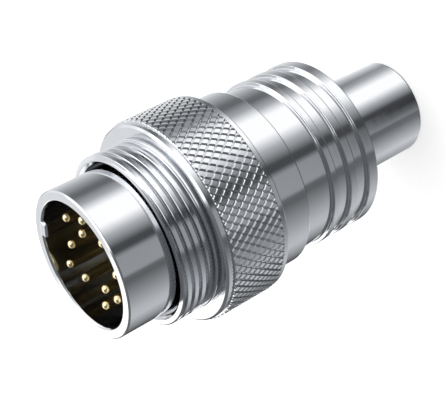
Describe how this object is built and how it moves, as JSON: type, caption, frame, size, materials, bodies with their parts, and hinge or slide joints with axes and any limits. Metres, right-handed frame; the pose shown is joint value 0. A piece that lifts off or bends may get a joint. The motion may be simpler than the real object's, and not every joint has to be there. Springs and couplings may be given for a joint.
{
  "type": "circular connector plug",
  "caption": "Round cable plug: keyed socket with gold pins, free-turning threaded ring with a knurled head, ribbed back nut and a smooth tube for the cable.",
  "frame": {"origin": "centre of the cable tube's end face, which the plug stands on", "axes": "+Z along the plug's axis from the cable end to the mating end; the polarising key is on the +Y side"},
  "size_m": [0.019, 0.019, 0.0364],
  "materials": {
    "plated_metal": "bright nickel plate on turned brass",
    "ring_metal": "bright nickel plate on turned brass, knurled head",
    "contact_gold": "gold plate, polished",
    "black_insulator": "moulded, satin black",
    "cage_plastic": "moulded, satin",
    "seal_rubber": "matt black rubber"
  },
  "bodies": {
    "connector_body": {"plug_shell": "plated_metal", "contact_insert": "black_insulator", "lock_ring": "plated_metal", "contact_outer_1": "contact_gold", "contact_outer_2": "contact_gold", "contact_outer_3": "contact_gold", "contact_outer_4": "contact_gold", "contact_outer_5": "contact_gold", "contact_outer_6": "contact_gold", "contact_outer_7": "contact_gold", "contact_inner_1": "contact_gold", "contact_inner_2": "contact_gold", "contact_inner_3": "contact_gold", "contact_inner_4": "contact_gold", "sleeve_seal": "seal_rubber", "body_sleeve": "plated_metal", "nut_seal": "seal_rubber", "shield_ring": "plated_metal", "cable_seal": "seal_rubber", "clamp_cage": "cage_plastic", "back_nut": "plated_metal"},
    "coupling_ring": {"coupling_ring": "ring_metal"}
  },
  "joints": [
    {"name": "ring_turn", "type": "hinge", "parent": "connector_body", "child": "coupling_ring", "pos_m": [0, 0, 0.0266], "axis": [0, 0, 1], "continuous": true}
  ]
}
